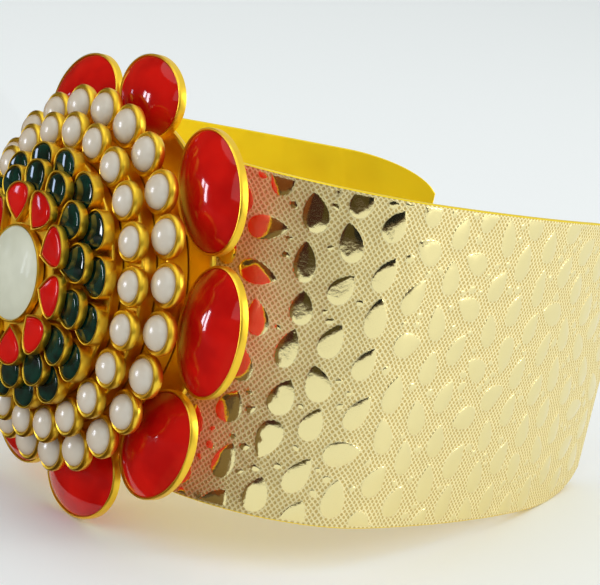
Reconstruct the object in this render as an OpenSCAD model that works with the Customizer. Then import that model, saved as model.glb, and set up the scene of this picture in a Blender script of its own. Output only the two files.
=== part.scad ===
// Cuff bracelet with a tiered flower of set stones, resting on a flat surface. Millimetres, +Z up.
// The pieces are drawn upright, with the middle of the band's front at the origin and its ends towards
// +Y. They are then tipped back onto the three points that the bracelet stands on.

/* [Band] */
// Height of the band
band_h = 36; // [34:1:38]
// Thickness of the band's sheet
band_t = 1; // [0.8:0.1:1.2]
// Outer radius of the nearly flat front
front_r = 155; // [140:5:180]
// Half of the angle that the front spans
front_deg = 4; // [3.5:0.5:4.5]
// Outer radius of the bend on each side of the front
bend_r = 19; // [18:0.5:21]
// Angle of each bend
bend_deg = 87; // [84:1:89]
// Outer radius of each long side
side_r = 116; // [100:2:130]
// Angle of each long side
side_deg = 22.5; // [20:0.5:24]
// Length of the rounded corners of the two ends
corner_l = 14; // [10:1:16]
// Height of the rounded corners of the two ends
corner_h = 5; // [4:0.5:7]

/* [Flower] */
// Height of the flower's centre above the middle of the band
flower_rise = 0.9; // [0:0.1:1.5]
// Radius of the plate that carries the petals
plate_r = 19.5; // [18.5:0.1:20]
// Thickness of the plate
plate_t = 0.8; // [0.6:0.1:1]
// Clearance between pieces that lie on each other, and round each stone
gap = 0.12; // [0.11:0.01:0.13]

/* [Petals] */
// Number of petals
petals = 9; // [9]
// Radius of the circle through the petals' centres
petal_ring = 21.3; // [21.3:0.1:21.8]
// Size of a petal's setting along the flower's radius
petal_l = 10.7; // [10.3:0.1:10.7]
// Size of a petal's setting across the radius
petal_w = 13.9; // [13:0.1:14]
// Height of a petal's setting
petal_h = 0.95; // [0.9:0.05:1.2]
// Wall of a petal's setting
petal_wall = 0.3; // [0.3:0.05:0.4]
// Height of a petal stone's top above the flower's back
petal_top = 3.6; // [3.4:0.1:4]
// Size of the one petal that is smaller than the others, as a part of theirs
small_petal_part = 0.86; // [0.84:0.01:0.88]
// Degrees by which the small petal sits nearer the next one
small_petal_shift = 4; // [3:0.5:4]

/* [Pearls] */
// Number of pearls in the outer row
outer_pearl_n = 24; // [22:24]
// Radius of the circle through the outer pearls
outer_pearl_ring = 18.9; // [18.9:0.1:19.1]
// Diameter of an outer pearl's cup
outer_pearl_d = 4.8; // [4.7:0.05:4.85]
// Number of pearls in the inner row
inner_pearl_n = 22; // [20:22]
// Radius of the circle through the inner pearls
inner_pearl_ring = 15.95; // [15.95:0.05:16.05]
// Diameter of an inner pearl's cup
inner_pearl_d = 4.36; // [4.3:0.02:4.4]
// Height of a pearl's cup
pearl_cup_h = 1.15; // [1.1:0.05:1.15]
// Breadth of the rim of a pearl's cup, which is pressed in over the pearl
pearl_rim = 0.55; // [0.5:0.05:0.6]

/* [Green and red stones] */
// Number of green stones in the outer row
outer_green_n = 16; // [15:16]
// Length of an outer green stone's cup
outer_green_l = 5.6; // [5.4:0.1:5.6]
// Width of an outer green stone's cup
outer_green_w = 4.5; // [4.2:0.1:4.5]
// Number of green stones in the inner row
inner_green_n = 14; // [12:14]
// Length of an inner green stone's cup
inner_green_l = 5.4; // [5.2:0.1:5.4]
// Width of an inner green stone's cup
inner_green_w = 4.3; // [4:0.1:4.3]
// Number of red stones round the centre
red_n = 10; // [10]
// Length of a red stone's cup
red_l = 4.5; // [4.3:0.05:4.5]
// Width of a red stone's cup
red_w = 4.8; // [4.6:0.1:4.8]
// Wall of the cups that hold the small stones
cup_wall = 0.25; // [0.24:0.01:0.28]

/* [Centre stone] */
// Radius of the collet
centre_r = 5.3; // [5:0.1:5.3]
// Height of the collet
centre_h = 0.8; // [0.7:0.05:0.9]
// Rise of the stone above the collet
centre_rise = 0.8; // [0.6:0.1:1]

/* [Hidden] */
// One row for each tier of small stones, from the outside in. The places in a row are named below.
// count, first angle, ring radius, cup length, cup width, cup height, lift above the tier below, reach
TIERS = [
    [outer_pearl_n, 12, outer_pearl_ring, outer_pearl_d, outer_pearl_d, pearl_cup_h, 5.2, 1.6],
    [inner_pearl_n, 10.5, inner_pearl_ring, inner_pearl_d, inner_pearl_d, pearl_cup_h, 2.3, 0.2],
    [outer_green_n, 13, 11.7, outer_green_l, outer_green_w, 1.3, 1.6, 0],
    [inner_green_n, 20, 9.8, inner_green_l, inner_green_w, 1, 1.55, -0.3],
    [red_n, 33, 7.7, red_l, red_w, 0.9, 1.25, -0.3],
];
COUNT = 0;
START = 1;
RING = 2;
LENGTH = 3;
WIDTH = 4;
HEIGHT = 5;
LIFT = 6;
REACH = 7;
OUTER_PEARLS = 0;
INNER_PEARLS = 1;
OUTER_GREENS = 2;
INNER_GREENS = 3;
REDS = 4;

// Sheet of the flanges and tubes, how deep the cups' feet sink into a flange, and the cups' floors
sheet_t = 0.4;
tube_t = 0.5;
sunk = 0.1;
pearl_floor = 0.3;
drop_floor = 0.2;
// Space between a tier's tube and the row of stones round it
tube_space = 0.4;
// Radius of a pearl cup's foot as a part of its rim's, and how far a pearl rises above the rim
foot_part = 0.92;
pearl_rise = [1.05, 0.8];
// Rise of a cut stone's table above its cup, height of its bevel, and size of the table as a part
table_rise = 0.1;
bevel_h = 0.3;
table_part = 0.7;
// How much more a drop's tip is drawn in than its sides, and the peak of the curve of its outline
tip_part = 1.5;
drop_peak = 0.77;
// Steps along half of the band's front, along a bend and along a side
front_steps = 3;
bend_steps = 18;
side_steps = 10;
// Points on the outline of a petal and of a drop, and rings of a petal stone's dome
petal_n = 24;
drop_n = 16;
dome_rings = 5;
// Height of a petal stone's widest ring below the top of its setting, and its dome's part of a circle
girdle_drop = 0.1;
dome_deg = 45;
arc_fn = 144;
round_fn = 48;

// The band's plan: the point at radius r and heading h on an arc round c, and the arcs' centres
function on_arc(c, r, h) = [c.x + r * sin(h), c.y - r * cos(h)];
front_c = [0, front_r];
bend_c = on_arc(front_c, front_r - bend_r, front_deg);
side_from = front_deg + bend_deg;
side_c = on_arc(bend_c, bend_r - side_r, side_from);
band_end = on_arc(side_c, side_r, side_from + side_deg);

// The corner's curve, seen from the side, from the band's edge (0) to its end (90)
corner_y = band_end.y + 0.4;
corner_angles = [0 : 7.5 : 90];
function corner_at(a) = [
    corner_y - corner_l + corner_l * sin(a),
    band_h / 2 - corner_h + corner_h * cos(a)
];

// How far the bracelet tips: the line from the lowest petal's foot that just meets the ends' corners
small_petal = 2;
petal_angles = [for (i = [0 : petals - 1]) i * 360 / petals + (i == small_petal ? small_petal_shift : 0)];
function petal_part(i) = i == small_petal ? small_petal_part : 1;
function petal_foot(a) = flower_rise + petal_ring * sin(a)
    - norm([petal_l / 2 * sin(a), petal_w / 2 * cos(a)]);
petal_z = gap + plate_t - sunk;
foot = [-petal_z, min([for (a = petal_angles) petal_foot(a)])];
lean = min([for (a = corner_angles) atan2(-corner_at(a).y - foot.y, corner_at(a).x - foot.x)]);
function tipped(p) = [p.x * cos(lean) + p.y * sin(lean), p.y * cos(lean) - p.x * sin(lean)];

// Height of a tier's cup feet above the flower's back, and of what the tier's tube stands on
function base(k) = TIERS[k][LIFT] + (k == 0 ? 0 : base(k - 1));
function below(k) = k == 0 ? gap + plate_t : base(k - 1) + sunk;
// Radius of the inner end of the row under a tier, and the tier's tube and flange
function inner_end(k) = k < 0 ? petal_ring - petal_l / 2 : TIERS[k][RING] - TIERS[k][LENGTH] / 2;
function tube_r(k) = inner_end(k - 1) - tube_space;
function flange_r(k) = inner_end(k - 1) + TIERS[k][REACH];
// Place of the collet, and of the sphere that the centre stone's top is a part of
function cap_r(r, rise) = (r * r + rise * rise) / (2 * rise);
collet_z = base(REDS) + sunk + gap;
stone_r = centre_r - cup_wall - gap;
stone_curve = cap_r(stone_r, centre_rise);
curve_z = collet_z + centre_h + centre_rise - stone_curve;

// The origin is under the middle of the whole, on the surface
front_y = tipped([-curve_z, flower_rise]).x - stone_curve;
back_y = max([for (a = corner_angles) tipped([min(corner_at(a).x, band_end.y), corner_at(a).y]).x]);

module resting() {
    translate([0, -(front_y + back_y) / 2, -tipped(foot).y])
        rotate([-lean, 0, 0])
            children();
}

// The flower's own frame has its back on the band's front, z outward and y up
module on_flower() {
    resting()
        translate([0, 0, flower_rise])
            rotate([90, 0, 0])
                children();
}

module at_petal(i) {
    rotate([0, 0, petal_angles[i]])
        translate([petal_ring, 0, 0])
            children();
}

module at_stone(k, i) {
    rotate([0, 0, TIERS[k][START] + i * 360 / TIERS[k][COUNT]])
        translate([TIERS[k][RING], 0, base(k)])
            children();
}

// Points along the band's right half at a depth below its outer face, from the front to the end
function along(c, r, from, sweep, steps) = [for (i = [1 : steps]) on_arc(c, r, from + sweep * i / steps)];
function band_half(depth) = concat(
    along(front_c, front_r - depth, 0, front_deg, front_steps),
    along(bend_c, bend_r - depth, front_deg, bend_deg, bend_steps),
    along(side_c, side_r - depth, side_from, side_deg, side_steps)
);
function mirrored(points) = [for (p = points) [-p.x, p.y]];
function backwards(points) = [for (i = [len(points) - 1 : -1 : 0]) points[i]];

module corner_cut() {
    curve = [for (a = corner_angles) corner_at(a)];
    outside = [
        [corner_y + 2, band_h / 2 - corner_h],
        [corner_y + 2, band_h / 2 + 1],
        [corner_y - corner_l, band_h / 2 + 1]
    ];
    rotate([90, 0, 90])
        linear_extrude(height = 90, center = true)
            polygon(concat(curve, outside));
}

module band() {
    color("khaki")
        resting()
            difference() {
                linear_extrude(height = band_h, center = true)
                    polygon(concat(
                        backwards(mirrored(band_half(0))),
                        band_half(0),
                        backwards(band_half(band_t)),
                        mirrored(band_half(band_t))
                    ));
                corner_cut();
                mirror([0, 0, 1]) corner_cut();
            }
}

// Outline of a petal, an ellipse long across the flower's radius
function petal_outline(number, inset) = [
    for (i = [0 : petal_n - 1])
        let (a = i * 360 / petal_n, part = petal_part(number - 1))
        [(petal_l * part / 2 - inset) * cos(a), (petal_w * part / 2 - inset) * sin(a)]
];

// Outline of a drop of length l and width w, its tip towards the flower's centre
function drop_outline(l, w, inset) = [
    for (i = [0 : drop_n - 1])
        let (a = (i + 0.5) * 360 / drop_n)
        [
            (tip_part - 1) * inset / 2 - (l - (1 + tip_part) * inset) / 2 * cos(a),
            -(w / 2 - inset) / drop_peak * sin(a) * sin(a / 2)
        ]
];

function lifted(outline, z, part = 1) = [for (p = outline) [p.x * part, p.y * part, z]];

// A closed solid through stacked outlines of equal length, flat at the bottom and the top
module stack(outlines) {
    n = len(outlines[0]);
    last = len(outlines) - 1;
    bottom = [for (i = [0 : n - 1]) i];
    top = [for (i = [n - 1 : -1 : 0]) last * n + i];
    sides = [
        for (k = [0 : last - 1], i = [0 : n - 1])
            let (j = (i + 1) % n)
            [k * n + i, k * n + n + i, k * n + n + j, k * n + j]
    ];
    polyhedron([for (outline = outlines) each outline], concat([bottom, top], sides), convexity = 4);
}

module petal_setting(number) {
    translate([0, 0, petal_z])
        difference() {
            linear_extrude(height = petal_h)
                polygon(petal_outline(number, 0));
            translate([0, 0, sheet_t])
                linear_extrude(height = petal_h)
                    polygon(petal_outline(number, petal_wall));
        }
}

module flower_plate() {
    color("goldenrod")
        on_flower() {
            translate([0, 0, gap])
                cylinder(r = plate_r, h = plate_t, $fn = arc_fn);
            for (i = [0 : petals - 1])
                at_petal(i)
                    petal_setting(i + 1);
        }
}

module petal_stone(number) {
    outline = petal_outline(number, petal_wall + gap);
    bottom_z = petal_z + sheet_t + gap;
    girdle_z = petal_z + petal_h - girdle_drop;
    dome = (petal_top - girdle_z) / (1 - cos(dome_deg));
    step = dome_deg / (dome_rings + 0.6);
    color("firebrick")
        on_flower()
            at_petal(number - 1)
                stack(concat(
                    [lifted(outline, bottom_z)],
                    [
                        for (k = [0 : dome_rings])
                            let (a = dome_deg - k * step)
                            lifted(outline, girdle_z + dome * (cos(a) - cos(dome_deg)), sin(a) / sin(dome_deg))
                    ]
                ));
}

// The flange that a tier's cups are soldered to, and the tube that carries it
module tier_ring(k) {
    hole = k == REDS ? 0 : min(tube_r(k), tube_r(k + 1)) - tube_t - tube_space;
    tube_z = below(k) + gap;
    translate([0, 0, base(k) + sunk - sheet_t])
        difference() {
            cylinder(r = flange_r(k), h = sheet_t, $fn = arc_fn);
            if (hole > 0)
                translate([0, 0, -1])
                    cylinder(r = hole, h = sheet_t + 2, $fn = arc_fn);
        }
    translate([0, 0, tube_z])
        difference() {
            cylinder(r = tube_r(k), h = base(k) - sheet_t / 2 - tube_z, $fn = arc_fn);
            translate([0, 0, -1])
                cylinder(r = tube_r(k) - tube_t, h = base(k), $fn = arc_fn);
        }
}

// The hollow of a pearl's cup, or the space in it that the pearl fills when it is drawn in by inset
module pearl_hollow(r, h, inset) {
    foot_r = r * foot_part - cup_wall / 2;
    flare = (r - pearl_rim - foot_r) / (pearl_cup_h - pearl_floor);
    rise = h - pearl_floor;
    translate([0, 0, pearl_floor + inset])
        cylinder(r1 = foot_r - inset + flare * inset, r2 = foot_r - inset + flare * rise,
            h = rise - inset, $fn = round_fn);
}

module pearl_tier(k) {
    r = TIERS[k][WIDTH] / 2;
    color("gold")
        on_flower() {
            difference() {
                union() {
                    tier_ring(k);
                    for (i = [0 : TIERS[k][COUNT] - 1])
                        at_stone(k, i)
                            cylinder(r1 = r * foot_part, r2 = r, h = pearl_cup_h, $fn = round_fn);
                }
                for (i = [0 : TIERS[k][COUNT] - 1])
                    at_stone(k, i)
                        pearl_hollow(r, pearl_cup_h + 1, 0);
            }
        }
}

module pearl_row(k) {
    r = TIERS[k][WIDTH] / 2;
    curve = cap_r(r - pearl_rim - gap, pearl_rise[k]);
    color("linen")
        on_flower()
            for (i = [0 : TIERS[k][COUNT] - 1])
                at_stone(k, i)
                    intersection() {
                        translate([0, 0, pearl_cup_h + pearl_rise[k] - curve])
                            sphere(r = curve, $fn = round_fn);
                        pearl_hollow(r, pearl_cup_h + 1, gap);
                        cylinder(r = r - pearl_rim - gap, h = pearl_cup_h + 3, $fn = round_fn);
                    }
}

module drop_tier(k) {
    l = TIERS[k][LENGTH];
    w = TIERS[k][WIDTH];
    h = TIERS[k][HEIGHT];
    color("goldenrod")
        on_flower()
            difference() {
                union() {
                    tier_ring(k);
                    for (i = [0 : TIERS[k][COUNT] - 1])
                        at_stone(k, i)
                            linear_extrude(height = h)
                                polygon(drop_outline(l, w, 0));
                }
                for (i = [0 : TIERS[k][COUNT] - 1])
                    at_stone(k, i)
                        translate([0, 0, drop_floor])
                            linear_extrude(height = h)
                                polygon(drop_outline(l, w, cup_wall));
            }
}

// A flat-topped stone with a bevelled edge, in the cup of a tier
module drop_stone(k, i) {
    outline = drop_outline(TIERS[k][LENGTH], TIERS[k][WIDTH], cup_wall + gap);
    table_z = TIERS[k][HEIGHT] + table_rise;
    on_flower()
        at_stone(k, i)
            stack([
                lifted(outline, drop_floor + gap),
                lifted(outline, table_z - bevel_h),
                lifted(outline, table_z, table_part)
            ]);
}

module drop_row(k) {
    color("darkslategray")
        for (i = [0 : TIERS[k][COUNT] - 1])
            drop_stone(k, i);
}

module red_stone(number) {
    color("crimson")
        drop_stone(REDS, number - 1);
}

module centre_collet() {
    color("gold")
        on_flower()
            translate([0, 0, collet_z])
                difference() {
                    cylinder(r = centre_r, h = centre_h, $fn = arc_fn);
                    translate([0, 0, drop_floor])
                        cylinder(r = centre_r - cup_wall, h = centre_h, $fn = arc_fn);
                }
}

module centre_stone() {
    color("ivory")
        on_flower()
            intersection() {
                translate([0, 0, collet_z + drop_floor + gap])
                    cylinder(r = stone_r, h = centre_h + centre_rise, $fn = arc_fn);
                translate([0, 0, curve_z])
                    sphere(r = stone_curve, $fn = arc_fn);
            }
}

band();
flower_plate();
pearl_tier(OUTER_PEARLS);  // outer_pearl_tier
pearl_tier(INNER_PEARLS);  // inner_pearl_tier
drop_tier(OUTER_GREENS);  // outer_green_tier
drop_tier(INNER_GREENS);  // inner_green_tier
drop_tier(REDS);  // red_tier
centre_collet();
centre_stone();
pearl_row(OUTER_PEARLS);  // outer_pearls
pearl_row(INNER_PEARLS);  // inner_pearls
drop_row(OUTER_GREENS);  // outer_green_stones
drop_row(INNER_GREENS);  // inner_green_stones
for (number = [1 : petals])
    petal_stone(number);
for (number = [1 : red_n])
    red_stone(number);
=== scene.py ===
"""An open cuff bracelet of gold-plated sheet brass with a tiered flower of set stones.

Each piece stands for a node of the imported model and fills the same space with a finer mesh: rounded
settings, polished stones and the relief that is pressed into the band. Pieces are shaped in millimetres
and placed in metres.
"""

from __future__ import annotations

import logging
import math
import random
from dataclasses import dataclass
from enum import Enum

import bpy
from mathutils import Matrix, Vector
from mathutils.geometry import delaunay_2d_cdt

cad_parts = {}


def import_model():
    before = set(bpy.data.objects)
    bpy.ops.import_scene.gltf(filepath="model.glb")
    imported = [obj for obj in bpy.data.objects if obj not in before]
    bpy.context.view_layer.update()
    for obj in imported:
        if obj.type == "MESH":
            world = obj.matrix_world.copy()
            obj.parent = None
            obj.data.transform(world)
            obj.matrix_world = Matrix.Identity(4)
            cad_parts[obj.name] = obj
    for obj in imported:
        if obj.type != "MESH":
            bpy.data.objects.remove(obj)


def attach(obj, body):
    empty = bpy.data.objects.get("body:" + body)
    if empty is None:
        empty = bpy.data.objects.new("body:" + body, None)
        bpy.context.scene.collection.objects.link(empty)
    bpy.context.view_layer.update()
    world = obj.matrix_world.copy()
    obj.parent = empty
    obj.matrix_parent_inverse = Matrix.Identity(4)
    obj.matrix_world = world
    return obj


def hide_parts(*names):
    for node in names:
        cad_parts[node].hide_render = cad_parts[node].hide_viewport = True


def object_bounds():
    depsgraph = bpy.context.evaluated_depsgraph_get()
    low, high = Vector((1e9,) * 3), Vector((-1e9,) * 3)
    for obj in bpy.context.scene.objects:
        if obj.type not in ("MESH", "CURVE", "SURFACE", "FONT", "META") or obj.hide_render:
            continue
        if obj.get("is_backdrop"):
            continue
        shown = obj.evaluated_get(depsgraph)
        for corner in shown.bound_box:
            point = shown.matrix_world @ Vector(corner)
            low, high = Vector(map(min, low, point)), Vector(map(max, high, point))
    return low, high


LOG = logging.getLogger("bracelet")
MM = 0.001
PHOTO_WIDTH = 600
SENSOR = 36.0
SHARP_DEGREES = 32
ROUND_STEPS = 144
COLLET_STEPS = 96
PETAL_STEPS = 72
CUP_STEPS = 40
DROP_PEAK = 0.86
DROP_POWER = 0.6
HERE = Matrix.Identity(4)
STRIP = "strip_place"
POLISH = "polish"

Point = tuple[float, float]
Profile = list[Point]
Colour = tuple[float, float, float, float]
Inputs = dict[str | int, object]
Socket = bpy.types.NodeSocket


def linear(hex_colour: str) -> Colour:
    """Turns an sRGB hex colour to linear light.

    Args:
        hex_colour: The colour as six hex digits after a hash.

    Returns:
        Red, green, blue and an alpha of 1.
    """
    parts = [int(hex_colour[i : i + 2], 16) / 255 for i in (1, 3, 5)]
    red, green, blue = (c / 12.92 if c <= 0.04045 else ((c + 0.055) / 1.055) ** 2.4 for c in parts)
    return red, green, blue, 1.0


class NodeGraph:
    """The shader nodes of one material or world."""

    def __init__(self, owner: bpy.types.Material | bpy.types.World) -> None:
        """Empties the owner's node tree."""
        owner.use_nodes = True
        self.owner = owner
        self.tree = owner.node_tree
        self.tree.nodes.clear()

    def add(self, kind: str, inputs: Inputs, out: str | int | None = 0, **settings: object) -> Socket | None:
        """Adds a node.

        Args:
            kind: The kind of node, as Blender names it after "ShaderNode".
            inputs: A value or another node's output for each input, by name or place.
            out: The output that is wanted, or None for a node without one.
            **settings: Properties of the node.

        Returns:
            The wanted output.
        """
        made = self.tree.nodes.new("ShaderNode" + kind)
        for name, value in settings.items():
            setattr(made, name, value)
        for key, value in inputs.items():
            if isinstance(value, Socket):
                self.tree.links.new(value, made.inputs[key])
            else:
                made.inputs[key].default_value = value
        return None if out is None else made.outputs[out]

    def place(self) -> Socket:
        """The shaded point in the piece's own frame, in metres."""
        return self.add("TexCoord", {}, "Object")

    def noise(self, place: Socket, scale: float, detail: float, out: str = "Fac") -> Socket:
        """Cloudy noise round a place."""
        return self.add("TexNoise", {"Vector": place, "Scale": scale, "Detail": detail}, out)

    def calc(self, operation: str, *values: Socket | float, clamp: bool = False) -> Socket:
        """Works out a number from others."""
        return self.add("Math", dict(enumerate(values)), operation=operation, use_clamp=clamp)

    def mix(self, part: Socket, first: Socket | Colour, last: Socket | Colour) -> Socket:
        """Mixes two colours, all of the first where the part is 0."""
        return self.add("Mix", {0: part, 6: first, 7: last}, 2, data_type="RGBA")

    def spread(self, value: Socket, limits: Inputs, curve: str = "LINEAR") -> Socket:
        """Spreads a value from one range, 0 to 1 unless the limits say otherwise, over another."""
        return self.add("MapRange", {"Value": value, **limits}, "Result", interpolation_type=curve)

    def bump(self, inputs: Inputs, invert: bool = False) -> Socket:
        """Tilts the shading by a height."""
        return self.add("Bump", inputs, "Normal", invert=invert)

    def close(self, shader: Inputs) -> bpy.types.Material:
        """Adds the Principled shader with its inputs and the output, and returns the material."""
        surface = self.add("BsdfPrincipled", shader, "BSDF")
        self.add("OutputMaterial", {"Surface": surface}, None)
        return self.owner


def graph_of(name: str) -> NodeGraph:
    """The empty node graph of a new material."""
    return NodeGraph(bpy.data.materials.new(name))


@dataclass(frozen=True)
class PlatedGold:
    """Gold-plated brass, polished by hand, which mirrors the room softly."""

    name: str
    colour: str
    worn_colour: str
    roughness: float
    ripple_mm: float = 2.0
    ripple_depth: float = 0.06

    def material(self) -> bpy.types.Material:
        """Makes the material: hand polishing leaves low ripples and a slightly uneven tone."""
        graph = graph_of(self.name)
        ripple = graph.noise(graph.place(), 1 / (self.ripple_mm * MM), 3.0)
        limits = {"To Min": self.roughness * 1.3, "To Max": self.roughness * 0.7}
        return graph.close({
            "Base Color": graph.mix(ripple, linear(self.worn_colour), linear(self.colour)),
            "Metallic": 1.0,
            "Roughness": graph.spread(ripple, limits),
            "Normal": graph.bump({"Height": ripple, "Strength": self.ripple_depth, "Distance": 1 * MM}),
        })


@dataclass(frozen=True)
class EmbossedGold:
    """Rolled sheet brass with pale gold plating: mirror-bright drops on a ground like fine net."""

    name: str = "embossed_gold"
    ground: str = "#FBF0BE"
    # Painted shade: the darker colour given to the pits of the net.
    pit_shade: str = "#D8C07C"
    drop: str = "#F4E4A6"
    net_mm: float = 0.62
    leans: Point = (0.92, -0.82)
    waver_mm: float = 0.7
    ground_roughness: float = 0.62
    drop_roughness: float = 0.1

    def material(self) -> bpy.types.Material:
        """Makes the material. The strip's own place in millimetres comes with the mesh. The pits of the net
        are pressed in by a bump and painted darker, as painted shade.
        """
        graph = graph_of(self.name)
        strip = graph.add("Attribute", {}, "Vector", attribute_name=STRIP)
        polish = graph.add("Attribute", {}, "Fac", attribute_name=POLISH)
        waver = graph.noise(strip, 0.35, 3.0, "Color")
        shifted = graph.add(
            "VectorMath", {0: waver, 1: (self.waver_mm,) * 3, 2: strip}, operation="MULTIPLY_ADD"
        )
        along, up = (graph.add("SeparateXYZ", {0: shifted}, axis) for axis in "XY")
        threads = []
        for lean in self.leans:
            leant = graph.calc("MULTIPLY_ADD", up, lean, along)
            phase = graph.calc("MULTIPLY", leant, math.pi / self.net_mm)
            threads.append(graph.calc("ABSOLUTE", graph.calc("SINE", phase)))
        cell = graph.calc("MULTIPLY", *threads)
        pit_shade_and_depth = graph.spread(cell, {"From Min": 0.2, "From Max": 0.7}, "SMOOTHSTEP")
        pit_shade_and_depth = graph.calc("MULTIPLY", pit_shade_and_depth, graph.calc("SUBTRACT", 1.0, polish))
        surface = graph.mix(polish, linear(self.ground), linear(self.drop))
        limits = {"To Min": self.ground_roughness, "To Max": self.drop_roughness}
        scuffs = graph.noise(strip, 3.0, 4.0)
        fine = graph.bump({"Height": scuffs, "Strength": 0.05, "Distance": 0.2 * MM})
        pressed = {"Height": pit_shade_and_depth, "Strength": 0.4, "Distance": 0.1 * MM, "Normal": fine}
        return graph.close({
            # Painted shade: the colour darkens towards the pit colour in the pits of the net.
            "Base Color": graph.mix(pit_shade_and_depth, surface, linear(self.pit_shade)),
            "Metallic": 1.0,
            "Roughness": graph.spread(polish, limits),
            "Normal": graph.bump(pressed, invert=True),
        })


@dataclass(frozen=True)
class CastGlass:
    """Foil-backed glass or lacquer, whose colour clouds between a deep and a bright tone."""

    name: str
    deep: str
    bright: str
    roughness: float
    cloud_mm: float = 4.0
    coat: float = 0.5
    ior: float = 1.52

    def material(self) -> bpy.types.Material:
        """Makes the material: the metal behind the glass gives a slightly clouded depth."""
        graph = graph_of(self.name)
        cloud = graph.noise(graph.place(), 1 / (self.cloud_mm * MM), 2.0)
        depth = graph.spread(cloud, {"From Min": 0.3, "From Max": 0.7}, "SMOOTHSTEP")
        return graph.close({
            "Base Color": graph.mix(depth, linear(self.deep), linear(self.bright)),
            "Roughness": self.roughness,
            "IOR": self.ior,
            "Coat Weight": self.coat,
            "Coat Roughness": 0.02,
        })


@dataclass(frozen=True)
class PearlCoat:
    """A glass bead under pearl lacquer: cream, with a soft highlight, and with painted shade that makes its
    rim darker and warmer.
    """

    name: str = "pearl_coat"
    body: str = "#D4CEC3"
    # Painted shade: the darker, warmer colour towards the bead's seen edge.
    rim: str = "#BFA27C"
    roughness: float = 0.26
    cloud_mm: float = 1.5

    def material(self) -> bpy.types.Material:
        """Makes the material: the lacquer clouds a little, and towards the bead's edge as it is seen the
        colour is painted darker and warmer, as painted shade.
        """
        graph = graph_of(self.name)
        facing = graph.add("LayerWeight", {"Blend": 0.35}, "Facing")
        cloud = graph.noise(graph.place(), 1 / (self.cloud_mm * MM), 2.0)
        # Painted shade: the rim colour takes over towards the bead's edge as it is seen, with a little
        # cloud.
        cloud_and_edge_shade = graph.calc("MULTIPLY_ADD", cloud, 0.35, facing, clamp=True)
        return graph.close({
            "Base Color": graph.mix(cloud_and_edge_shade, linear(self.body), linear(self.rim)),
            "Roughness": self.roughness,
            "Coat Weight": 0.5,
            "Coat Roughness": 0.12,
            "Sheen Weight": 0.15,
        })


@dataclass(frozen=True)
class Matt:
    """A plain matt surface of the stage."""

    name: str
    colour: str
    roughness: float = 1.0

    def material(self) -> bpy.types.Material:
        """Makes the material."""
        return graph_of(self.name).close({"Base Color": linear(self.colour), "Roughness": self.roughness})


class Shape:
    """A mesh in the making: points in millimetres and faces between them."""

    def __init__(self) -> None:
        """Starts an empty shape."""
        self.points: list[Vector] = []
        self.faces: list[tuple[int, ...]] = []

    def loft(self, loops: list[list[Vector]], cap_first: bool = False, cap_last: bool = False) -> None:
        """Joins closed loops of equal length by quads.

        Args:
            loops: The loops, each counter-clockwise seen from the side of the last one.
            cap_first: Whether a face closes the first loop.
            cap_last: Whether a face closes the last loop.
        """
        start = len(self.points)
        count = len(loops[0])
        for loop in loops:
            self.points.extend(loop)
        for k in range(len(loops) - 1):
            low = start + k * count
            for i in range(count):
                j = (i + 1) % count
                self.faces.append((low + i, low + j, low + count + j, low + count + i))
        if cap_first:
            self.faces.append(tuple(start + i for i in reversed(range(count))))
        if cap_last:
            self.faces.append(tuple(start + (len(loops) - 1) * count + i for i in range(count)))

    def add(self, other: Shape, place: Matrix) -> None:
        """Adds another shape, moved by a matrix."""
        start = len(self.points)
        self.points.extend(place @ point for point in other.points)
        self.faces.extend(tuple(start + i for i in face) for face in other.faces)


def turned(profile: Profile, count: int, closed: bool = False) -> Shape:
    """Turns a profile round the vertical axis.

    Args:
        profile: Radius and height of each point, from the bottom outside to the top.
        count: Number of steps round the axis.
        closed: Whether the last point joins the first.

    Returns:
        The turned shape.
    """
    shape = Shape()
    angles = [2 * math.pi * i / count for i in range(count)]
    rings = profile + profile[:1] if closed else profile
    shape.loft(
        [[Vector((r * math.cos(a), r * math.sin(a), z)) for a in angles] for r, z in rings],
        cap_first=not closed,
        cap_last=not closed,
    )
    return shape


@dataclass(frozen=True)
class OvalOutline:
    """An ellipse across the flower's radius. Its phase is the part of a step before the first point."""

    length: float
    width: float
    phase: float = 0.0

    def at(self, angle: float, inset: float) -> Point:
        """The outline's point at an angle, drawn in by an inset."""
        return (self.length / 2 - inset) * math.cos(angle), (self.width / 2 - inset) * math.sin(angle)


@dataclass(frozen=True)
class DropOutline:
    """A drop with its tip towards the flower's centre."""

    length: float
    width: float
    peak: float = 0.77
    tip_part: float = 1.5
    phase: float = 0.5

    def at(self, angle: float, inset: float) -> Point:
        """The outline's point at an angle, drawn in by an inset, more so at the tip."""
        reach = (self.length - (1 + self.tip_part) * inset) / 2
        shift = (self.tip_part - 1) * inset / 2
        swell = (self.width / 2 - inset) / self.peak
        return shift - reach * math.cos(angle), -swell * math.sin(angle) * math.sin(angle / 2)


Outline = OvalOutline | DropOutline


def lofted(outline: Outline, profile: Profile, count: int, cap_first: bool, cap_last: bool) -> Shape:
    """Carries a profile round an outline.

    Args:
        outline: The outline.
        profile: Inset and height of each loop, from the bottom outside to the top.
        count: Number of points on a loop.
        cap_first: Whether a face closes the first loop.
        cap_last: Whether a face closes the last loop.

    Returns:
        The lofted shape.
    """
    shape = Shape()
    angles = [2 * math.pi * (i + outline.phase) / count for i in range(count)]
    loops = [[Vector((*outline.at(angle, inset), z)) for angle in angles] for inset, z in profile]
    shape.loft(loops, cap_first, cap_last)
    return shape


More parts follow.
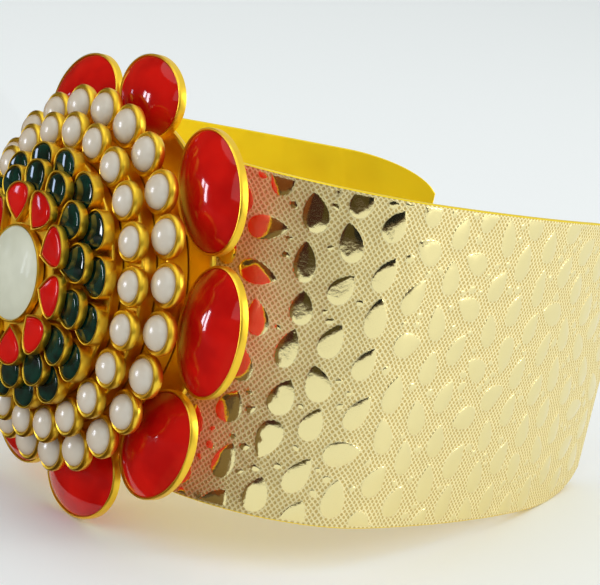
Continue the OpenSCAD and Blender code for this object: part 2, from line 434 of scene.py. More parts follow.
class Rest:
    """How the bracelet lies: tipped back onto its lowest petal and the corners of its ends."""

    def __init__(self, lean: float, lift: float, back: float, flower_rise: float) -> None:
        """Works out the two frames.

        Args:
            lean: Degrees that the wrist's axis tips back.
            lift: Height of the middle of the band's front.
            back: Millimetres that the front lies before the origin.
            flower_rise: Height of the flower's centre above the band's middle.
        """
        scale = Matrix.Scale(MM, 4)
        self.upright = scale @ Matrix.Translation((0, -back, lift)) @ Matrix.Rotation(
            math.radians(-lean), 4, "X"
        )
        self.flower = self.upright @ Matrix.Translation((0, 0, flower_rise)) @ Matrix.Rotation(
            math.radians(90), 4, "X"
        )


def placed(name: str, data: bpy.types.ID) -> bpy.types.Object:
    """Makes an object of a mesh, light or camera, and puts it in the scene."""
    made = bpy.data.objects.new(name, data)
    bpy.context.scene.collection.objects.link(made)
    return made


@dataclass(frozen=True)
class Bench:
    """Makes pieces in one frame, with the materials of the record's slots."""

    frame: Matrix
    materials: dict[str, list[bpy.types.Material]]

    def make(
        self, name: str, shape: Shape, node: str, slot: str, place: Matrix = HERE, finish: str = ""
    ) -> bpy.types.Object:
        """Makes a piece from a shape, smooth but for its sharp edges.

        Args:
            name: The piece's name.
            shape: The shape in millimetres.
            node: The model's node that the piece stands for.
            slot: The record's material slot.
            place: From the shape's frame to the bench's.
            finish: Which materials the piece has, if not its slot's own.

        Returns:
            The new object.
        """
        mesh = bpy.data.meshes.new(name)
        where = self.frame @ place
        mesh.from_pydata([where @ point for point in shape.points], [], shape.faces)
        for material in self.materials[finish or slot]:
            mesh.materials.append(material)
        mesh.shade_smooth()
        mesh.set_sharp_from_angle(angle=math.radians(SHARP_DEGREES))
        mesh.update()
        piece = placed(name, mesh)
        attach(piece, "root")
        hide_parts(node)
        LOG.info("%s: %d faces", name, len(mesh.polygons))
        return piece


@dataclass(frozen=True)
class Motif:
    """One raised drop or pebble of the relief, in millimetres on the flat strip."""

    along: float
    up: float
    length: float
    width: float
    turn: float
    rise: float
    points: int

    def loop(self, grow: float, lowest: float, highest: float) -> list[Point]:
        """The drop's outline on the strip.

        Args:
            grow: How far outside the drop's own outline it lies.
            lowest: Where the strip's edge cuts it off below.
            highest: Where the strip's edge cuts it off above.

        Returns:
            The outline's points, counter-clockwise.
        """
        half_length = self.length / 2 + grow
        half_width = self.width / 2 + grow
        turn = math.radians(self.turn)
        points = []
        for i in range(self.points):
            angle = 2 * math.pi * i / self.points
            x = half_width / DROP_PEAK * math.sin(angle) * math.sin(angle / 2) ** DROP_POWER
            y = half_length * math.cos(angle)
            along = self.along + x * math.cos(turn) + y * math.sin(turn)
            up = self.up - x * math.sin(turn) + y * math.cos(turn)
            points.append((along, min(max(up, lowest), highest)))
        return points[::-1]

    def circles(self) -> list[tuple[float, float, float]]:
        """Three circles that fill the drop, as place along, place up and radius."""
        turn = math.radians(self.turn)
        parts = ((-0.22, 0.5), (0.12, 0.38), (0.38, 0.16))
        return [
            (
                self.along + part * self.length * math.sin(turn),
                self.up + part * self.length * math.cos(turn),
                share * self.width,
            )
            for part, share in parts
        ]

    def clear_of(self, other: Motif, gap: float) -> bool:
        """Whether another motif stays at least a gap away."""
        if math.hypot(self.along - other.along, self.up - other.up) > (self.length + other.length) / 2 + gap:
            return True
        return all(
            math.hypot(x - u, y - v) > r + s + gap
            for x, y, r in self.circles()
            for u, v, s in other.circles()
        )


@dataclass(frozen=True)
class BandPlan:
    """The band's plan: half of a nearly flat front, a bend and a long side, and its rounded ends."""

    height: float = 36.0
    sheet: float = 1.0
    front_radius: float = 155.0
    front_angle: float = 4.0
    bend_radius: float = 19.0
    bend_angle: float = 87.0
    side_radius: float = 116.0
    side_angle: float = 22.5
    corner_length: float = 14.0
    corner_height: float = 5.0
    corner_past: float = 0.4

    def arcs(self) -> list[tuple[Point, float, float, float]]:
        """Centre, radius, first heading and sweep of each arc, in degrees."""
        front = (0.0, self.front_radius)
        bend = on_arc(front, self.front_radius - self.bend_radius, self.front_angle)
        side_from = self.front_angle + self.bend_angle
        side = on_arc(bend, self.bend_radius - self.side_radius, side_from)
        return [
            (front, self.front_radius, 0.0, self.front_angle),
            (bend, self.bend_radius, self.front_angle, self.bend_angle),
            (side, self.side_radius, side_from, self.side_angle),
        ]

    def half_length(self) -> float:
        """Length of the strip from the middle of the front to an end."""
        return sum(radius * math.radians(sweep) for _, radius, _, sweep in self.arcs())

    def end(self) -> Point:
        """Where the right half of the band ends, in plan."""
        centre, radius, first, sweep = self.arcs()[-1]
        return on_arc(centre, radius, first + sweep)

    def place(self, along: float, up: float, out: float) -> Vector:
        """A point of the band.

        Args:
            along: Place along the strip from the middle of the front, more to the right.
            up: Place up the strip from its middle.
            out: Height above the band's outer face.

        Returns:
            The point in the upright frame.
        """
        left = abs(along)
        for centre, radius, first, sweep in self.arcs():
            heading = first + math.degrees(left / radius)
            if heading <= first + sweep:
                break
            left -= radius * math.radians(sweep)
        x, y = on_arc(centre, radius + out, min(heading, first + sweep))
        return Vector((math.copysign(x, along), y, up))

    def corner_start(self) -> float:
        """How far behind the front the corners' curves start, seen from the side."""
        return self.end()[1] + self.corner_past - self.corner_length

    def corner(self, angle: float) -> Point:
        """A corner's curve from the side, from the band's edge (0) to its end (90 degrees)."""
        turn = math.radians(angle)
        return (
            self.corner_start() + self.corner_length * math.sin(turn),
            self.height / 2 - self.corner_height + self.corner_height * math.cos(turn),
        )

    def reach(self, along: float) -> float:
        """How far up the strip reaches at a place along it, less in its rounded ends."""
        part = (self.place(along, 0, 0).y - self.corner_start()) / self.corner_length
        if part <= 0:
            return self.height / 2
        return self.height / 2 - self.corner_height * (1 - math.sqrt(max(0.0, 1 - part * part)))


def on_arc(centre: Point, radius: float, heading: float) -> Point:
    """The point of an arc at a heading in degrees from the front."""
    turn = math.radians(heading)
    return centre[0] + radius * math.sin(turn), centre[1] - radius * math.cos(turn)


@dataclass(frozen=True)
class Relief:
    """The pattern that rollers press into the strip: upright drops in staggered rows, and pebbles."""

    pitch_along: float = 4.3
    pitch_up: float = 5.0
    stray: float = 0.55
    drop_lengths: Point = (3.7, 4.5)
    drop_widths: Point = (2.4, 2.9)
    drop_points: int = 28
    pebble_sizes: Point = (0.7, 1.3)
    pebble_widths: Point = (0.65, 0.9)
    pebble_turns: Point = (40, 140)
    pebble_points: int = 10
    drop_rise: float = 0.05
    pebble_rise: float = 0.045
    pebbles: int = 2600
    drop_gap: float = 0.22
    pebble_gap: float = 0.3
    end_margin: float = 1.0
    past_edge: float = 0.8
    tries: int = 14
    turn: float = 8.0
    turn_spread: float = 16.0
    turned_part: float = 0.12
    odd_turns: tuple[int, ...] = (-70, 70, 160)
    seed: int = 11

    def motifs(self, half_length: float, half_height: float) -> list[Motif]:
        """Lays out drops and pebbles that stay clear of each other.

        Args:
            half_length: Half of the strip's length.
            half_height: Half of the strip's height.

        Returns:
            The drops, and then the pebbles.
        """
        chance = random.Random(self.seed)
        laid: list[Motif] = []
        columns = int(half_length / self.pitch_along) + 1
        rows = int(half_height / self.pitch_up) + 1
        for column in range(-columns, columns + 1):
            for row in range(-rows, rows + 1):
                for _ in range(self.tries):
                    drop = self.stray_drop(chance, column, row)
                    if abs(drop.along) > half_length - self.end_margin:
                        continue
                    if abs(drop.up) > half_height + self.past_edge:
                        continue
                    if all(drop.clear_of(other, self.drop_gap) for other in laid):
                        laid.append(drop)
                        break
        for _ in range(self.pebbles):
            size = chance.uniform(*self.pebble_sizes)
            pebble = Motif(
                chance.uniform(-half_length, half_length),
                chance.uniform(-half_height, half_height),
                size,
                size * chance.uniform(*self.pebble_widths),
                chance.uniform(*self.pebble_turns),
                self.pebble_rise,
                self.pebble_points,
            )
            if all(pebble.clear_of(other, self.pebble_gap) for other in laid):
                laid.append(pebble)
        return laid

    def stray_drop(self, chance: random.Random, column: int, row: int) -> Motif:
        """Tries a drop near its place in the staggered rows.

        Args:
            chance: Where the drop's stray place, tilt and size come from.
            column: The drop's column.
            row: The drop's row.

        Returns:
            The drop, for which there may be no room.
        """
        along = (column + chance.uniform(-1, 1) * self.stray / self.pitch_along) * self.pitch_along
        up = (row + column % 2 / 2) * self.pitch_up + chance.uniform(-1, 1) * self.stray
        turn = chance.gauss(self.turn, self.turn_spread)
        if chance.random() < self.turned_part:
            turn += chance.choice(self.odd_turns)
        length, width = chance.uniform(*self.drop_lengths), chance.uniform(*self.drop_widths)
        return Motif(along, up, length, width, turn, self.drop_rise, self.drop_points)


class Strip:
    """Points of the band's outer face on the flat strip, with the height and polish of each."""

    def __init__(self) -> None:
        """Starts without points."""
        self.points: list[Point] = []
        self.rise: list[float] = []
        self.polish: list[float] = []
        self.edges: list[tuple[int, int]] = []

    def add(self, points: list[Point], height: float, bright: float) -> None:
        """Adds points of one height and polish."""
        self.points += points
        self.rise += [height] * len(points)
        self.polish += [bright] * len(points)

    def add_loop(self, loop: list[Point], height: float, bright: float) -> None:
        """Adds a closed outline of one height and polish."""
        first = len(self.points)
        self.add(loop, height, bright)
        self.edges += [(first + i, first + (i + 1) % len(loop)) for i in range(len(loop))]


@dataclass
class EmbossedBand:
    """The open cuff of sheet brass with the relief pressed into its outer face."""

    plan: BandPlan
    relief: Relief
    edge: float = 0.12
    bevel: float = 0.2
    outline_steps: int = 132
    gathered: float = 0.35
    column_step: float = 0.9
    row_step: float = 1.5
    inside: float = 0.25
    outside: float = 0.45
    nearby: float = 3.2
    end_margin: float = 0.5
    corner_margin: float = 0.4
    rim_margin: float = 0.6

    def outline(self, inset: float) -> list[Point]:
        """The strip's own outline, drawn in by an inset, counter-clockwise from the lower left."""
        half = self.plan.half_length()
        lower = []
        for i in range(self.outline_steps + 1):
            part = 2 * i / self.outline_steps - 1
            to_ends = half * math.sin(math.pi / 2 * part)
            along = self.gathered * to_ends + (1 - self.gathered) * part * half
            inner = math.copysign(max(abs(along) - inset, 0.0), along) if abs(along) > half - 1 else along
            lower.append((inner, -self.plan.reach(along) + inset))
        return lower + [(along, -up) for along, up in reversed(lower)]

    def shape(self) -> tuple[Shape, list[Vector], list[float], int]:
        """Builds the band.

        Returns:
            The shape in the upright frame, each point's place on the strip, each point's polish, and how
            many of the faces belong to the outer face.
        """
        half, tall = self.plan.half_length(), self.plan.height / 2
        flat = Strip()
        rim = self.outline(self.edge)
        flat.add_loop(rim, 0.0, 0.0)
        kept = []
        for motif in self.relief.motifs(half, tall):
            if abs(motif.along) + motif.length / 2 > half - self.end_margin:
                continue
            cut = self.plan.reach(motif.along + math.copysign(motif.width / 2, motif.along))
            if cut < tall and abs(motif.up) + motif.length / 2 > cut - self.corner_margin:
                continue
            kept.append(motif)
            limit = tall - self.edge - 0.1
            flat.add_loop(motif.loop(self.bevel / 2, -limit, limit), 0.0, 0.0)
            limit -= self.bevel
            flat.add_loop(motif.loop(-self.bevel / 2, -limit, limit), motif.rise, 1.0)
        self.scatter(kept, flat)
        spots = [Vector(point) for point in flat.points]
        made, _, faces, whence, _, _ = delaunay_2d_cdt(spots, flat.edges, [], 1, 1e-5)
        shine = [flat.polish[found[0]] if found else 0.0 for found in whence]
        shape = Shape()
        strip = []
        for point, found in zip(made, whence):
            height = flat.rise[found[0]] if found else 0.0
            shape.points.append(self.plan.place(point.x, point.y, height))
            strip.append(Vector((point.x, point.y, height)))
        shape.faces.extend(tuple(face) for face in faces)
        outer = len(shape.faces)
        self.close(shape, strip, shine, rim)
        return shape, strip, shine, outer

    def scatter(self, motifs: list[Motif], flat: Strip) -> None:
        """Adds points on the ground and on the drops, so that both follow the band's bend.

        Args:
            motifs: The drops and pebbles.
            flat: The points on the strip, which grow.
        """
        half, tall = self.plan.half_length(), self.plan.height / 2
        for column in range(int(2 * half / self.column_step) + 1):
            along = -half + self.rim_margin + column * self.column_step
            if abs(along) > half - self.end_margin:
                continue
            reach = self.plan.reach(along) - self.rim_margin
            near = [m for m in motifs if abs(m.along - along) < self.nearby]
            for row in range(int(2 * tall / self.row_step) + 1):
                up = -tall + (row + column % 2 / 2) * self.row_step
                if abs(up) > reach:
                    continue
                height, bright = 0.0, 0.0
                for motif in near:
                    depth = max(r - math.hypot(x - along, y - up) for x, y, r in motif.circles())
                    if depth > self.inside:
                        height, bright = motif.rise, 1.0
                    elif depth > -self.outside:
                        break
                else:
                    flat.add([(along, up)], height, bright)

    def close(self, shape: Shape, strip: list[Vector], shine: list[float], rim: list[Point]) -> None:
        """Adds the sheet's edge and its plain inner face.

        Args:
            shape: The outer face, which grows to the whole band.
            strip: Each point's place on the strip, which grows.
            shine: Each point's polish, which grows.
            rim: The outer face's own outline.
        """
        found = {(round(p.x, 4), round(p.y, 4)): i for i, p in reversed(list(enumerate(strip)))}
        first = [found[(round(x, 4), round(y, 4))] for x, y in rim]
        full = self.outline(0.0)
        sheet = self.plan.sheet
        last = first
        count = len(rim)
        for outline, out in ((full, -self.edge), (full, self.edge - sheet), (rim, -sheet)):
            start = len(shape.points)
            for along, up in outline:
                shape.points.append(self.plan.place(along, up, out))
                strip.append(Vector((along, up, out)))
                shine.append(1.0)
            ring = [start + i for i in range(count)]
            for i in range(count):
                j = (i + 1) % count
                shape.faces.append((last[j], last[i], ring[i], ring[j]))
            last = ring
        half = count // 2
        for i in range(half - 1):
            shape.faces.append((last[i], last[count - 1 - i], last[count - 2 - i], last[i + 1]))

    def build(self, bench: Bench) -> None:
        """Makes the band.

        Args:
            bench: What makes it. Its first material is the embossed one, its second the plain one.
        """
        shape, strip, shine, outer = self.shape()
        mesh = bench.make("embossed_band", shape, "band", "band_gold").data
        place = mesh.attributes.new(STRIP, "FLOAT_VECTOR", "POINT")
        place.data.foreach_set("vector", [value for point in strip for value in point])
        polish = mesh.attributes.new(POLISH, "FLOAT", "POINT")
        polish.data.foreach_set("value", shine)
        mesh.polygons.foreach_set("material_index", [0] * outer + [1] * (len(mesh.polygons) - outer))
        mesh.update()


@dataclass(frozen=True)
class Tier:
    """One row of small settings on its flange and tube."""

    name: str
    count: int
    start: float
    ring: float
    length: float
    width: float
    height: float
    lift: float
    reach: float


class Row(Enum):
    """The tiers of small stones, from the outside in."""

    OUTER_PEARLS = Tier("outer_pearl_tier", 24, 12, 18.9, 4.8, 4.8, 1.15, 5.2, 1.6)
    INNER_PEARLS = Tier("inner_pearl_tier", 22, 10.5, 15.95, 4.36, 4.36, 1.15, 2.3, 0.2)
    OUTER_GREENS = Tier("outer_green_tier", 16, 13, 11.7, 5.6, 4.5, 1.3, 1.6, 0.0)
    INNER_GREENS = Tier("inner_green_tier", 14, 20, 9.8, 5.4, 4.3, 1.0, 1.55, -0.3)
    REDS = Tier("red_tier", 10, 33, 7.7, 4.5, 4.8, 0.9, 1.25, -0.3)


ROWS = list(Row)


@dataclass(frozen=True)
class Flower:
    """The tiered flower: petals round the outside, rings of small settings, and a stone in the middle."""

    rise: float = 0.9
    plate_radius: float = 19.5
    plate_sheet: float = 0.8
    gap: float = 0.12
    sunk: float = 0.1
    petals: int = 9
    petal_ring: float = 21.3
    petal_length: float = 10.7
    petal_width: float = 13.9
    petal_height: float = 0.95
    petal_top: float = 3.6
    small_petal: int = 2
    small_petal_part: float = 0.86
    small_petal_shift: float = 4.0
    pearl_rim: float = 0.55
    pearl_rises: tuple[float, float] = (1.05, 0.8)
    collet_radius: float = 5.3
    collet_height: float = 0.8
    stone_rise: float = 0.8
    cup_wall: float = 0.25
    tube_inset: float = 0.4
    tube_wall: float = 0.5
    lip: float = 0.4
    flange_sheet: float = 0.4
    tilt: float = 3.0
    seed: int = 5

    def base(self, k: int) -> float:
        """Height of a tier's cups above the flower's back."""
        return sum(row.value.lift for row in ROWS[: k + 1])

    def inner_end(self, k: int) -> float:
        """Radius of the inner end of a row of settings, or of the petals for -1."""
        if k < 0:
            return self.petal_ring - self.petal_length / 2
        return ROWS[k].value.ring - ROWS[k].value.length / 2

    def petal_turn(self, i: int) -> float:
        """A petal's angle round the flower. The small one sits nearer the next."""
        shift = self.small_petal_shift if i == self.small_petal else 0.0
        return math.radians(i * 360 / self.petals + shift)

    def petal_outline(self, i: int) -> OvalOutline:
        """The outline of a petal's setting."""
        part = self.small_petal_part if i == self.small_petal else 1.0
        return OvalOutline(self.petal_length * part, self.petal_width * part)

    def petal_base(self) -> float:
        """Height of the petals' settings above the flower's back."""
        return self.gap + self.plate_sheet - self.sunk

    def collet_base(self) -> float:
        """Height of the middle collet above the flower's back."""
        return self.base(len(ROWS) - 1) + self.sunk + self.gap

    def stone_curve(self) -> float:
        """Radius of the sphere that the middle stone's top is a part of."""
        stone = self.collet_radius - self.cup_wall - self.gap
        return (stone**2 + self.stone_rise**2) / (2 * self.stone_rise)

    def rest(self, plan: BandPlan) -> Rest:
        """How the bracelet lies on the lowest petal and on the corners of the band's ends.

        Args:
            plan: The band's plan.

        Returns:
            The frames of the bracelet at rest.
        """
        turns = [self.petal_turn(i) for i in range(self.petals)]
        lowest = min(
            self.petal_ring * math.sin(a)
            - math.hypot(self.petal_length / 2 * math.sin(a), self.petal_width / 2 * math.cos(a))
            for a in turns
        )
        foot = Vector((-self.petal_base(), self.rise + lowest))
        corners = [plan.corner(7.5 * i) for i in range(13)]
        lean = min(math.atan2(-up - foot.y, y - foot.x) for y, up in corners)
        tip = Matrix.Rotation(-lean, 2)
        curve = self.stone_curve()
        curve_base = self.collet_base() + self.collet_height + self.stone_rise - curve
        front = (tip @ Vector((-curve_base, self.rise))).x - curve
        end = plan.end()[1]
        back = max((tip @ Vector((min(y, end), up))).x for y, up in corners)
        return Rest(math.degrees(lean), -(tip @ foot).y, (front + back) / 2, self.rise)

    def round_base(self, k: int) -> Shape:
        """The flange that a tier's cups are soldered to, and the tube that carries it.

        Args:
            k: The tier's place from the outside.

        Returns:
            Both, in the flower's frame.
        """
        tier = ROWS[k].value
        tube = self.inner_end(k - 1) - self.tube_inset
        inner = tube - self.tube_wall
        flange = self.inner_end(k - 1) + tier.reach
        next_inner = self.inner_end(k) - self.tube_inset - self.tube_wall
        hole = 0.01 if k == len(ROWS) - 1 else min(inner, next_inner) - self.lip
        top = self.base(k) + self.sunk
        low = top - self.flange_sheet
        below = self.gap + self.plate_sheet if k == 0 else self.base(k - 1) + self.sunk
        foot = below + self.gap
        disc = [
            (hole, low), (flange - 0.1, low), (flange, low + 0.1), (flange, top - 0.1), (flange - 0.1, top),
            (hole, top),
        ]
        pipe = [(inner, foot), (tube, foot), (tube, top - 0.2), (inner, top - 0.2)]
        shape = turned(disc, ROUND_STEPS, closed=True)
        shape.add(turned(pipe, ROUND_STEPS, closed=True), HERE)
        return shape

    def spot(self, k: int, i: int) -> Matrix:
        """Where a setting of a tier sits, its length along the radius."""
        tier = ROWS[k].value
        turn = Matrix.Rotation(math.radians(tier.start + i * 360 / tier.count), 4, "Z")
        return turn @ Matrix.Translation((tier.ring, 0, self.base(k)))

    def pearl_cup(self, radius: float, height: float) -> Shape:
        """A spun cup, slightly barrelled, whose broad soft rim is pressed in over the pearl."""
        rim = self.pearl_rim
        wall = [(radius * 0.9, 0.0), (radius * 0.94, 0.1)]
        wall += [(radius * part, height * up) for part, up in ((0.975, 0.35), (1.0, 0.62))]
        pressed = [(0.03, 0.8), (0.1, 0.92), (0.22, 1.0)]
        pressed += [(rim * 0.7, 0.98), (rim * 0.95, 0.9), (rim, 0.8), (rim, 0.5)]
        return turned(wall + [(radius - inset, height * up) for inset, up in pressed], CUP_STEPS)

    def pearl(self, radius: float, height: float, rise: float) -> Shape:
        """A half pearl in its cup.

        Args:
            radius: The pearl's radius.
            height: The cup's height.
            rise: How far the pearl stands above the cup.

        Returns:
            The pearl, whose foot is hidden in the cup.
        """
        low = height - 0.2
        profile = [(radius - 0.05, 0.6), (radius, low)]
        for i in range(1, 14):
            turn = math.radians(90 * i / 14)
            profile.append((radius * math.cos(turn), low + (height + rise - low) * math.sin(turn)))
        return turned(profile, 32)

    def drop_cup(self, outline: DropOutline, height: float) -> Shape:
        """A thin strip bent into a drop, with its rim rubbed smooth."""
        profile = [
            (0.06, 0.0), (0.01, 0.1), (0.0, height - 0.14), (0.02, height - 0.05), (0.08, height),
            (0.16, height - 0.01), (0.22, height - 0.07), (0.25, height - 0.2), (0.25, 0.2),
        ]
        return lofted(outline, profile, CUP_STEPS, False, True)

    def cut_stone(self, outline: DropOutline, height: float) -> Shape:
        """A flat-topped stone with a narrow bevel round its table."""
        profile = [
            (0.27, 0.3), (0.27, height - 0.18), (0.32, height - 0.1), (0.56, height + 0.06),
            (0.64, height + 0.08),
        ]
        return lofted(outline, profile, CUP_STEPS, False, True)

    def petal_setting(self, outline: OvalOutline) -> Shape:
        """An oval box setting whose rim is rubbed over the stone."""
        height = self.petal_height
        profile = [
            (0.08, 0.0), (0.0, 0.08), (0.0, height - 0.2), (0.03, height - 0.08), (0.1, height - 0.01),
            (0.19, height), (0.27, height - 0.04), (0.32, height - 0.12), (0.34, height - 0.3), (0.34, 0.4),
        ]
        return lofted(outline, profile, PETAL_STEPS, True, False)

    def petal_back(self, outline: OvalOutline) -> Shape:
        """The coat of lacquer on the back of a petal's setting, which leaves a gold edge. Its bright red is
        painted light: it stands in for light shining through the red stones, which the band mirrors.
        """
        return lofted(outline, [(0.36, -0.012), (0.3, 0.02)], PETAL_STEPS, True, False)

    def petal_stone(self, outline: OvalOutline) -> Shape:
        """An oval stone with a low dome, which rises from inside the setting's rim."""
        girdle = self.petal_height - 0.1
        edge_turn = math.radians(45)
        dome = (self.petal_top - self.petal_base() - girdle) / (1 - math.cos(edge_turn))
        edge = [outline.at(2 * math.pi * i / PETAL_STEPS, 0.33) for i in range(PETAL_STEPS)]
        loops = [[Vector((x, y, 0.5)) for x, y in edge]]
        steps = 16
        for k in range(steps):
            turn = edge_turn * (1 - k / steps)
            part = math.sin(turn) / math.sin(edge_turn)
            height = girdle + dome * (math.cos(turn) - math.cos(edge_turn))
            loops.append([Vector((x * part, y * part, height)) for x, y in edge])
        shape = Shape()
        shape.loft(loops, cap_last=True)
        return shape

    def build(self, bench: Bench) -> None:
        """Makes the whole flower.

        Args:
            bench: What makes its pieces, in the flower's frame.
        """
        chance = random.Random(self.seed)
        self.build_petals(bench)
        for k, row in enumerate(ROWS):
            if row in (Row.OUTER_PEARLS, Row.INNER_PEARLS):
                self.build_pearls(bench, k)
            else:
                self.build_drops(bench, k, chance)
        self.build_centre(bench)

    def build_petals(self, bench: Bench) -> None:
        """Makes the back plate with its nine settings, and the petal stones."""
        plate, low = self.plate_radius, self.gap
        top = low + self.plate_sheet
        profile = [
            (plate - 0.3, low), (plate - 0.08, low + 0.14), (plate, low + 0.4), (plate - 0.08, top - 0.14),
            (plate - 0.3, top),
        ]
        metal = turned(profile, ROUND_STEPS)
        backs = Shape()
        for i in range(self.petals):
            turn = Matrix.Rotation(self.petal_turn(i), 4, "Z")
            place = turn @ Matrix.Translation((self.petal_ring, 0, self.petal_base()))
            outline = self.petal_outline(i)
            metal.add(self.petal_setting(outline), place)
            backs.add(self.petal_back(outline), place)
            stone = self.petal_stone(outline)
            bench.make(f"petal_{i + 1}", stone, f"petal_stone_{i + 1}", "red_glass", place)
        bench.make("petal_settings", metal, "flower_plate", "flower_gold")
        # Painted light: the backs' bright red stands in for light shining through the red stones.
        bench.make("petal_backs", backs, "flower_plate", "red_glass", finish="lacquer")

    def build_pearls(self, bench: Bench, k: int) -> None:
        """Makes one row of pearls in their cups."""
        tier = ROWS[k].value
        metal = self.round_base(k)
        pearls = Shape()
        radius = tier.width / 2
        pearl = self.pearl(radius - self.pearl_rim + 0.01, tier.height, self.pearl_rises[k])
        for i in range(tier.count):
            metal.add(self.pearl_cup(radius, tier.height), self.spot(k, i))
            pearls.add(pearl, self.spot(k, i))
        row = tier.name.replace("_tier", "s")
        bench.make(f"{row}_cups", metal, tier.name, "flower_gold")
        bench.make(f"{row}_domes", pearls, row, "pearl")

    def build_drops(self, bench: Bench, k: int, chance: random.Random) -> None:
        """Makes one row of drop-shaped stones in their settings.

        Args:
            bench: What makes the pieces.
            k: The tier's place from the outside.
            chance: Where the slight tilt of each hand-set stone comes from.
        """
        tier = ROWS[k].value
        outline = DropOutline(tier.length, tier.width)
        metal = self.round_base(k)
        stone = self.cut_stone(outline, tier.height)
        stones = Shape()
        for i in range(tier.count):
            spot = self.spot(k, i)
            metal.add(self.drop_cup(outline, tier.height), spot)
            tilts = [math.radians(chance.uniform(-self.tilt, self.tilt)) for _ in "XY"]
            tilted = spot @ Matrix.Rotation(tilts[0], 4, "X") @ Matrix.Rotation(tilts[1], 4, "Y")
            if ROWS[k] is Row.REDS:
                bench.make(f"red_drop_{i + 1}", stone, f"red_stone_{i + 1}", "red_glass", tilted)
            else:
                stones.add(stone, tilted)
        bench.make(f"{tier.name}_settings", metal, tier.name, "flower_gold")
        if stones.points:
            node = tier.name.replace("_tier", "_stones")
            bench.make(f"{node}_cut", stones, node, "green_glass")

    def build_centre(self, bench: Bench) -> None:
        """Makes the middle collet and its pale domed stone."""
        radius, height = self.collet_radius, self.collet_height
        rim = [
            (radius - 0.05, 0.0), (radius, 0.06), (radius, height - 0.14), (radius - 0.04, height - 0.04),
            (radius - 0.11, height), (radius - 0.19, height - 0.02), (radius - 0.24, height - 0.1),
            (radius - 0.25, 0.2),
        ]
        lifted = Matrix.Translation((0, 0, self.collet_base()))
        bench.make("middle_collet", turned(rim, COLLET_STEPS), "centre_collet", "flower_gold", lifted)
        stone = radius - self.cup_wall - 0.01
        curve = self.stone_curve()
        middle = height + self.stone_rise - curve
        dome = [(stone, 0.3), (stone, height - 0.12)]
        for i in range(12):
            r = stone * (1 - 0.02 - 0.98 * i / 11.5)
            dome.append((r, middle + math.sqrt(curve**2 - r**2) - 0.08 * (r / stone) ** 8))
        bench.make("middle_stone", turned(dome, COLLET_STEPS), "centre_stone", "pale_stone", lifted)


@dataclass(frozen=True)
class SoftLight:
    """A lit panel, placed by its direction from the bracelet, in degrees, metres and watts."""

    name: str
    heading: float
    height: float
    distance: float
    width: float
    tall: float
    power: float
    colour: str

    def build(self, target: Vector) -> None:
        """Makes the light.

        Args:
            target: What the panel faces.
        """
        data = bpy.data.lights.new(self.name, "AREA")
        data.shape = "RECTANGLE"
        data.size = self.width
        data.size_y = self.tall
        data.energy = self.power
        data.color = linear(self.colour)[:3]
        lamp = placed(self.name, data)
        lamp.location = target + direction(self.heading, self.height) * self.distance
        lamp.rotation_euler = (target - lamp.location).to_track_quat("-Z", "Y").to_euler()


def direction(heading: float, height: float) -> Vector:
    """The way from the bracelet at a heading from the flower's side towards +X, and a height in degrees."""
    turn, rise = math.radians(heading), math.radians(height)
    return Vector((math.sin(turn) * math.cos(rise), -math.cos(turn) * math.cos(rise), math.sin(rise)))


def staged(name: str, points: list[tuple[float, float, float]], faces: list[tuple[int, ...]],
           finish: Matt) -> bpy.types.Object:
    """Makes a part of the stage.

    Args:
        name: The part's name.
        points: Its points in metres.
        faces: The faces between them.
        finish: Its finish.

    Returns:
        The new object.
    """
    mesh = bpy.data.meshes.new(name)
    mesh.from_pydata(points, [], faces)
    mesh.materials.append(finish.material())
    made = placed(name, mesh)
    made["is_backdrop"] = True
    return made


@dataclass(frozen=True)
class DimPatch:
    """A dim part of the room that only reflections show, swept round the bracelet's middle.

    Headings run from the flower's side towards +X. Each end of the swept line is given by its distance
    and height in metres.
    """

    name: str
    first: float
    last: float
    near: Point
    far: Point
    colour: str = "#4A3218"

    def build(self, middle: Vector) -> None:
        """Makes the patch.

        Args:
            middle: The bracelet's middle.
        """
        steps = 24
        points = []
        for i in range(steps + 1):
            way = direction(self.first + (self.last - self.first) * i / steps, 0)
            for distance, height in (self.near, self.far):
                spot = middle + way * distance
                points.append((spot.x, spot.y, height))
        faces = [(2 * i, 2 * i + 2, 2 * i + 3, 2 * i + 1) for i in range(steps)]
        patch = staged(self.name, points, faces, Matt(self.name, self.colour))
        patch.visible_camera = patch.visible_diffuse = patch.visible_shadow = False


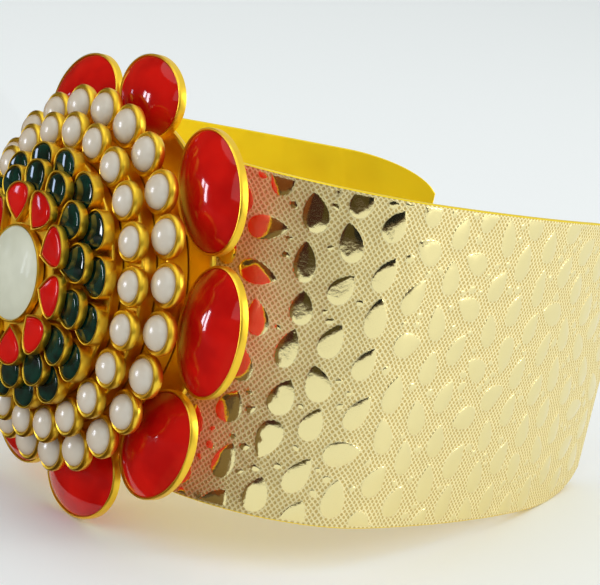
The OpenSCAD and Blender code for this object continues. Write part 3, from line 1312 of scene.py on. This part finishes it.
@dataclass(frozen=True)
class Studio:
    """A pale board under a bright sky, with windows, soft lights and the dim parts of a room."""

    sky: str = "#F0F4F1"
    sky_strength: float = 0.86
    board: Matt = Matt("pale_board", "#F7F9FC", 0.8)
    board_reach: float = 12.0
    dim: tuple[DimPatch, ...] = (
        DimPatch("room_left", -112, 14, (0.9, 0.0), (0.62, 0.8)),
        DimPatch("room_cupboard", 14, 36, (0.9, 0.0), (0.8, 0.3), "#7A4016"),
        DimPatch("room_curtain", 36, 56, (0.9, 0.0), (0.8, 0.3), "#401A16"),
        DimPatch("room_wall", 56, 82, (0.9, 0.0), (0.8, 0.3), "#4C401E"),
        DimPatch("room_right", 82, 116, (0.9, 0.0), (0.8, 0.3), "#14161C"),
        DimPatch("near_table", -112, 24, (0.034, 0.001), (0.9, 0.001)),
        DimPatch("near_cloth", 24, 40, (0.034, 0.001), (0.9, 0.001), "#7A6238"),
        DimPatch("far_table", 40, 116, (0.36, 0.001), (0.9, 0.001)),
    )
    lights: tuple[SoftLight, ...] = (
        SoftLight("left_pane", -34, 7, 0.7, 0.05, 0.18, 0.55, "#EAF1FF"),
        SoftLight("right_pane", -27, 7, 0.7, 0.05, 0.18, 0.55, "#EAF1FF"),
        SoftLight("low_window", -61, 3, 0.7, 0.04, 0.07, 0.05, "#C9DCFF"),
        SoftLight("soft_side", 133, 18, 1.0, 0.22, 0.5, 2.2, "#FFFDF6"),
        SoftLight("overhead", 40, 74, 1.4, 1.2, 1.2, 2.8, "#FFFFFF"),
    )

    def build(self, target: Vector) -> None:
        """Makes the board, the sky, the lights and the dim patches round the bracelet's middle."""
        reach = self.board_reach
        corners = [(-reach, -reach, 0), (reach, -reach, 0), (reach, reach, 0), (-reach, reach, 0)]
        staged("board", corners, [(0, 1, 2, 3)], self.board)
        world = bpy.data.worlds.new("room")
        bpy.context.scene.world = world
        graph = NodeGraph(world)
        light = graph.add("Background", {"Color": linear(self.sky), "Strength": self.sky_strength})
        graph.add("OutputWorld", {"Surface": light}, None)
        for part in self.lights + self.dim:
            part.build(target)


@dataclass(frozen=True)
class Viewpoint:
    """The photograph's camera, given from the band's front in the upright frame, in millimetres."""

    heading: float = 49.45
    height: float = 9.18
    roll: float = 12.65
    distance: float = 202.7
    aim: tuple[float, float, float] = (0.0, 27.5, 0.0)
    focal_pixels: float = 1652.0
    right_pixels: float = -1.4
    down_pixels: float = 12.9

    def build(self, rest: Rest) -> None:
        """Makes the camera.

        Args:
            rest: How the bracelet lies.
        """
        back = direction(self.heading, self.height)
        right = Vector((0, 0, 1)).cross(back).normalized()
        up = back.cross(right)
        roll = math.radians(self.roll)
        across = right * math.cos(roll) + up * math.sin(roll)
        above = up * math.cos(roll) - right * math.sin(roll)
        turn = rest.upright.to_3x3() * (1 / MM)
        axes = Matrix((turn @ across, turn @ above, turn @ back)).transposed()
        spot = rest.upright @ (Vector(self.aim) + back * self.distance)
        data = bpy.data.cameras.new("photograph")
        data.sensor_width = SENSOR
        data.lens = self.focal_pixels * SENSOR / PHOTO_WIDTH
        data.shift_x = -self.right_pixels / PHOTO_WIDTH
        data.shift_y = self.down_pixels / PHOTO_WIDTH
        data.clip_start = 0.01
        camera = placed("photograph", data)
        camera.matrix_world = Matrix.Translation(spot) @ axes.to_4x4()
        bpy.context.scene.camera = camera


def set_view() -> None:
    """Shows the colours as they are, without a film look, and lets light bounce on between the cups."""
    bpy.context.scene.cycles.glossy_bounces = 10
    view = bpy.context.scene.view_settings
    view.view_transform = "Standard"
    view.look = "None"
    view.exposure = 0.0
    view.gamma = 1.0


def main() -> None:
    """Builds the bracelet, its studio and its camera."""
    logging.basicConfig(level=logging.INFO, format="%(message)s")
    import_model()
    solid_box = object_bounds()
    finishes = {
        "band_gold": [EmbossedGold(), PlatedGold("inner_plating", "#FFE52C", "#FCDC24", 0.5, 6.0, 0.12)],
        "flower_gold": [PlatedGold("yellow_plating", "#FFDA48", "#FAC834", 0.36)],
        "red_glass": [CastGlass("red_glass", "#B00A08", "#CC130C", 0.08, coat=0.0)],
        "green_glass": [CastGlass("green_glass", "#02140F", "#063227", 0.05, 1.5)],
        "pale_stone": [CastGlass("milk_glass", "#C0BFA8", "#CBCAB4", 0.45, 3.0, 0.1)],
        "pearl": [PearlCoat()],
        # Painted light: the bright red lacquer stands in for light shining through the red stones.
        "lacquer": [CastGlass("red_glass_light_stand_in", "#E0180A", "#F4200C", 0.3)],
    }
    made = {name: [finish.material() for finish in group] for name, group in finishes.items()}
    plan = BandPlan()
    flower = Flower()
    rest = flower.rest(plan)
    EmbossedBand(plan, Relief()).build(Bench(rest.upright, made))
    flower.build(Bench(rest.flower, made))
    low, high = solid_box
    Studio().build((Vector(low) + Vector(high)) / 2)
    Viewpoint().build(rest)
    set_view()


if __name__ == "__main__":
    main()
